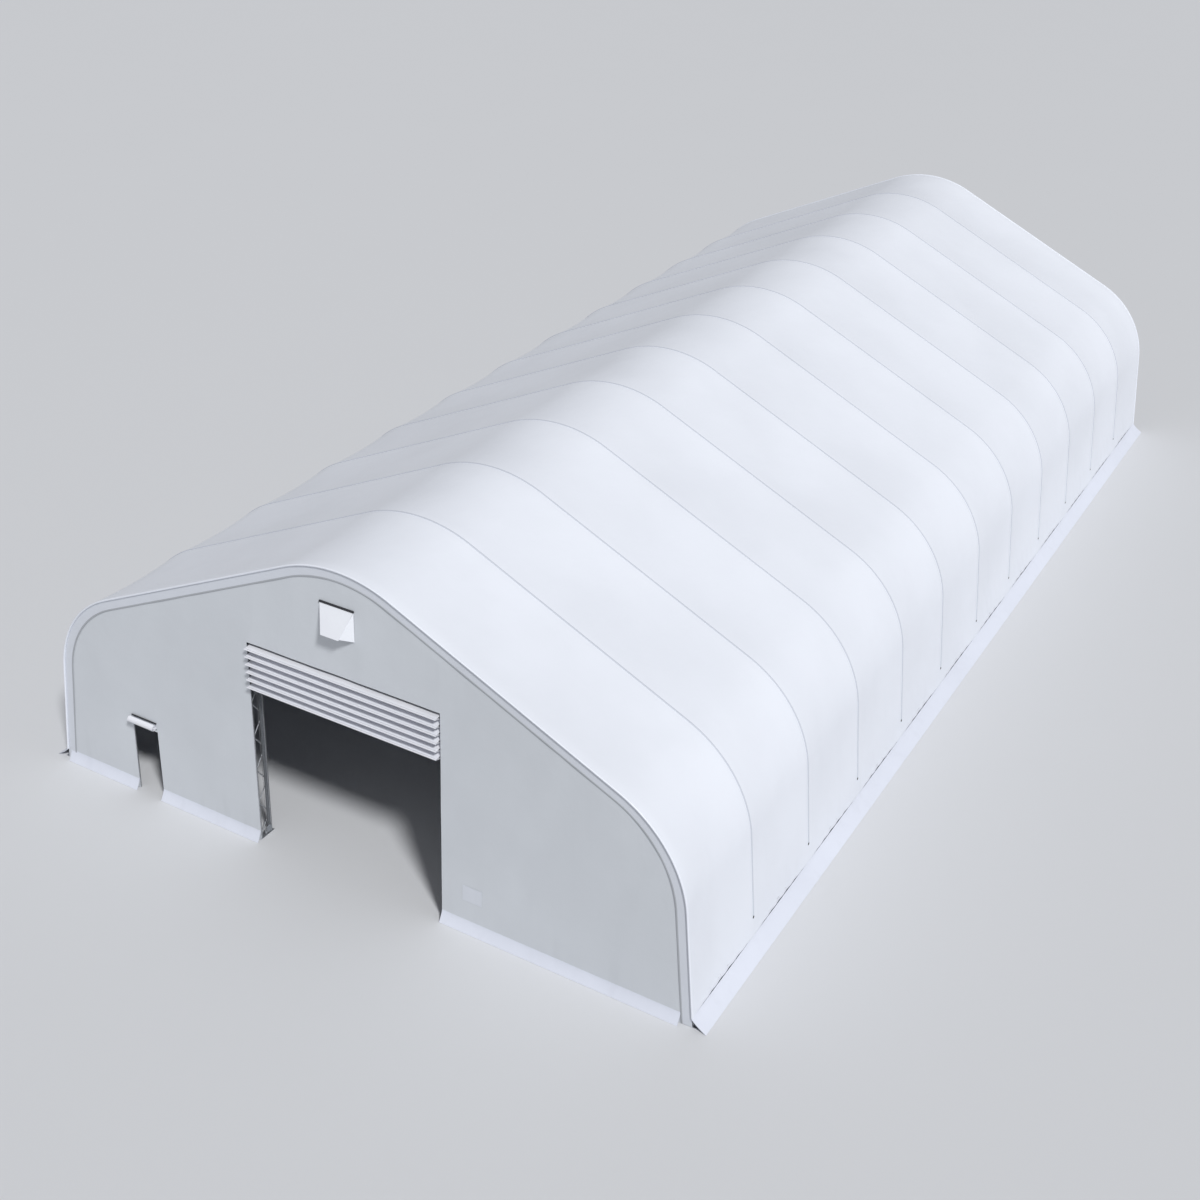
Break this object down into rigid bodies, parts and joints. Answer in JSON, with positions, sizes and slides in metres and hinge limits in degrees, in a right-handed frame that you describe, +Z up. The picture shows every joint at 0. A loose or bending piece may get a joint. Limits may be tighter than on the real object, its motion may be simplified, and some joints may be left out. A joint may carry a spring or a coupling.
{
  "type": "fabric storage shelter",
  "caption": "Long peaked fabric shelter on ladder arches, with a folding main door, a roll-up side door, hinged vents and ground skirts.",
  "frame": {"origin": "on the ground, under the middle of the building", "axes": "+Z up, +Y from the front wall with the doors to the rear wall, +X to the right when looking along +Y"},
  "size_m": [15.5, 30.892, 6.8533],
  "materials": {
    "galvanised_tube": "hot-dip galvanised",
    "zinc_plate": "bright zinc plated",
    "cover_fabric": "coated fabric, satin",
    "skirt_fabric": "coated fabric, satin",
    "wall_fabric": "coated fabric, satin",
    "trim_fabric": "coated fabric, satin",
    "eyelet_rubber": "matt black",
    "door_fabric": "coated fabric, satin",
    "door_tube": "galvanised",
    "hood_fabric": "coated fabric, satin",
    "vent_mesh": "woven insect mesh",
    "wire_rope": "stranded steel",
    "sheave_steel": "grey paint",
    "crank_paint": "dark grey paint"
  },
  "bodies": {
    "shelter": {"base_plates": "galvanised_tube", "border_bands": "trim_fabric", "curtain_guides": "galvanised_tube", "door_header": "galvanised_tube", "door_post_left": "galvanised_tube", "door_post_right": "galvanised_tube", "eave_purlins": "galvanised_tube", "end_skirts": "skirt_fabric", "foot_brackets": "galvanised_tube", "front_wall": "wall_fabric", "hem_rails": "galvanised_tube", "hoist_cables": "wire_rope", "main_cover": "cover_fabric", "purlin_clips": "galvanised_tube", "rear_vent_hood": "hood_fabric", "rear_wall": "wall_fabric", "roof_purlins": "galvanised_tube", "seam_eyelets": "eyelet_rubber", "shaft_hangers": "galvanised_tube", "side_door_frame": "galvanised_tube", "side_door_sheet": "door_fabric", "side_skirts": "skirt_fabric", "splice_bolts": "zinc_plate", "truss_frame_01": "galvanised_tube", "truss_frame_02": "galvanised_tube", "truss_frame_03": "galvanised_tube", "truss_frame_04": "galvanised_tube", "truss_frame_05": "galvanised_tube", "truss_frame_06": "galvanised_tube", "truss_frame_07": "galvanised_tube", "truss_frame_08": "galvanised_tube", "truss_frame_09": "galvanised_tube", "truss_frame_10": "galvanised_tube", "truss_frame_11": "galvanised_tube", "truss_frame_12": "galvanised_tube", "truss_frame_13": "galvanised_tube", "vent_gussets": "hood_fabric", "vent_mesh": "vent_mesh", "wall_patch": "trim_fabric", "winch_frame": "galvanised_tube", "wind_braces": "zinc_plate"},
    "fold_1": {"door_fold_1": "door_fabric"},
    "tube_1": {"door_tube_1": "door_tube"},
    "fold_2": {"door_fold_2": "door_fabric"},
    "tube_2": {"door_tube_2": "door_tube"},
    "fold_3": {"door_fold_3": "door_fabric"},
    "tube_3": {"door_tube_3": "door_tube"},
    "fold_4": {"door_fold_4": "door_fabric"},
    "tube_4": {"door_tube_4": "door_tube"},
    "fold_5": {"door_fold_5": "door_fabric"},
    "tube_5": {"door_tube_5": "door_tube"},
    "fold_6": {"door_fold_6": "door_fabric"},
    "door_bottom": {"door_bottom_bar": "door_tube"},
    "lift_shaft": {"lift_shaft": "sheave_steel"},
    "foot_sheave_left": {"foot_sheave_left": "sheave_steel"},
    "foot_sheave_right": {"foot_sheave_right": "sheave_steel"},
    "crank": {"hand_crank": "crank_paint"},
    "side_door_bar": {"side_door_bar": "door_tube"},
    "side_roll": {"side_door_roll": "door_fabric"},
    "vent_flap": {"vent_flap": "hood_fabric"}
  },
  "joints": [
    {"name": "fold_1_drop", "type": "slide", "parent": "shelter", "child": "fold_1", "axis": [0, 0.7819, -0.6234], "range_m": [0, 0.47831], "deforming": ["door_fold_1"]},
    {"name": "tube_1_drop", "type": "slide", "parent": "fold_1", "child": "tube_1", "axis": [0, -0.7819, -0.6234], "range_m": [0, 0.47831]},
    {"name": "fold_2_drop", "type": "slide", "parent": "tube_1", "child": "fold_2", "axis": [0, 0.7819, -0.6234], "range_m": [0, 0.47831], "deforming": ["door_fold_2"]},
    {"name": "tube_2_drop", "type": "slide", "parent": "fold_2", "child": "tube_2", "axis": [0, -0.7819, -0.6234], "range_m": [0, 0.47831]},
    {"name": "fold_3_drop", "type": "slide", "parent": "tube_2", "child": "fold_3", "axis": [0, 0.7819, -0.6234], "range_m": [0, 0.47831], "deforming": ["door_fold_3"]},
    {"name": "tube_3_drop", "type": "slide", "parent": "fold_3", "child": "tube_3", "axis": [0, -0.7819, -0.6234], "range_m": [0, 0.47831]},
    {"name": "fold_4_drop", "type": "slide", "parent": "tube_3", "child": "fold_4", "axis": [0, 0.7819, -0.6234], "range_m": [0, 0.47831], "deforming": ["door_fold_4"]},
    {"name": "tube_4_drop", "type": "slide", "parent": "fold_4", "child": "tube_4", "axis": [0, -0.7819, -0.6234], "range_m": [0, 0.47831]},
    {"name": "fold_5_drop", "type": "slide", "parent": "tube_4", "child": "fold_5", "axis": [0, 0.7819, -0.6234], "range_m": [0, 0.47831], "deforming": ["door_fold_5"]},
    {"name": "tube_5_drop", "type": "slide", "parent": "fold_5", "child": "tube_5", "axis": [0, -0.7819, -0.6234], "range_m": [0, 0.47831]},
    {"name": "fold_6_drop", "type": "slide", "parent": "tube_5", "child": "fold_6", "axis": [0, 0.7819, -0.6234], "range_m": [0, 0.47831], "deforming": ["door_fold_6"]},
    {"name": "door_bottom_drop", "type": "slide", "parent": "fold_6", "child": "door_bottom", "axis": [0, -0.7819, -0.6234], "range_m": [0, 0.47831]},
    {"name": "lift_shaft_turn", "type": "hinge", "parent": "shelter", "child": "lift_shaft", "pos_m": [0, -14.923, 4.9], "axis": [1, 0, 0], "range_deg": [0, 2563.55]},
    {"name": "foot_sheave_left_turn", "type": "hinge", "parent": "shelter", "child": "foot_sheave_left", "pos_m": [-2.204, -14.923, 0.12], "axis": [1, 0, 0], "range_deg": [0, 2563.55]},
    {"name": "foot_sheave_right_turn", "type": "hinge", "parent": "shelter", "child": "foot_sheave_right", "pos_m": [2.204, -14.923, 0.12], "axis": [1, 0, 0], "range_deg": [0, 2563.55]},
    {"name": "crank_turn", "type": "hinge", "parent": "shelter", "child": "crank", "pos_m": [2.44, -14.7685, 1], "axis": [1, 0, 0], "range_deg": [-2929.63, 0]},
    {"name": "side_door_drop", "type": "slide", "parent": "shelter", "child": "side_door_bar", "axis": [0, 0, -1], "range_m": [0, 1.67], "deforming": ["side_door_sheet"]},
    {"name": "side_roll_turn", "type": "hinge", "parent": "shelter", "child": "side_roll", "pos_m": [-5.095, -15.284, 1.79], "axis": [1, 0, 0], "range_deg": [-1367.91, 0]},
    {"name": "vent_hinge", "type": "hinge", "parent": "shelter", "child": "vent_flap", "pos_m": [0, -15.206, 6.13], "axis": [1, 0, 0], "range_deg": [0, 21], "deforming": ["vent_gussets"]}
  ],
  "couplings": [
    {"joint": "tube_1_drop", "follows": "fold_1_drop", "ratio": 1},
    {"joint": "fold_2_drop", "follows": "fold_1_drop", "ratio": 1},
    {"joint": "tube_2_drop", "follows": "fold_1_drop", "ratio": 1},
    {"joint": "fold_3_drop", "follows": "fold_1_drop", "ratio": 1},
    {"joint": "tube_3_drop", "follows": "fold_1_drop", "ratio": 1},
    {"joint": "fold_4_drop", "follows": "fold_1_drop", "ratio": 1},
    {"joint": "tube_4_drop", "follows": "fold_1_drop", "ratio": 1},
    {"joint": "fold_5_drop", "follows": "fold_1_drop", "ratio": 1},
    {"joint": "tube_5_drop", "follows": "fold_1_drop", "ratio": 1},
    {"joint": "fold_6_drop", "follows": "fold_1_drop", "ratio": 1},
    {"joint": "door_bottom_drop", "follows": "fold_1_drop", "ratio": 1},
    {"joint": "lift_shaft_turn", "follows": "fold_1_drop", "rad_per_m": 93.506},
    {"joint": "foot_sheave_left_turn", "follows": "fold_1_drop", "rad_per_m": 93.506},
    {"joint": "foot_sheave_right_turn", "follows": "fold_1_drop", "rad_per_m": 93.506},
    {"joint": "crank_turn", "follows": "fold_1_drop", "rad_per_m": -106.86},
    {"joint": "side_roll_turn", "follows": "side_door_drop", "rad_per_m": -14.286}
  ]
}
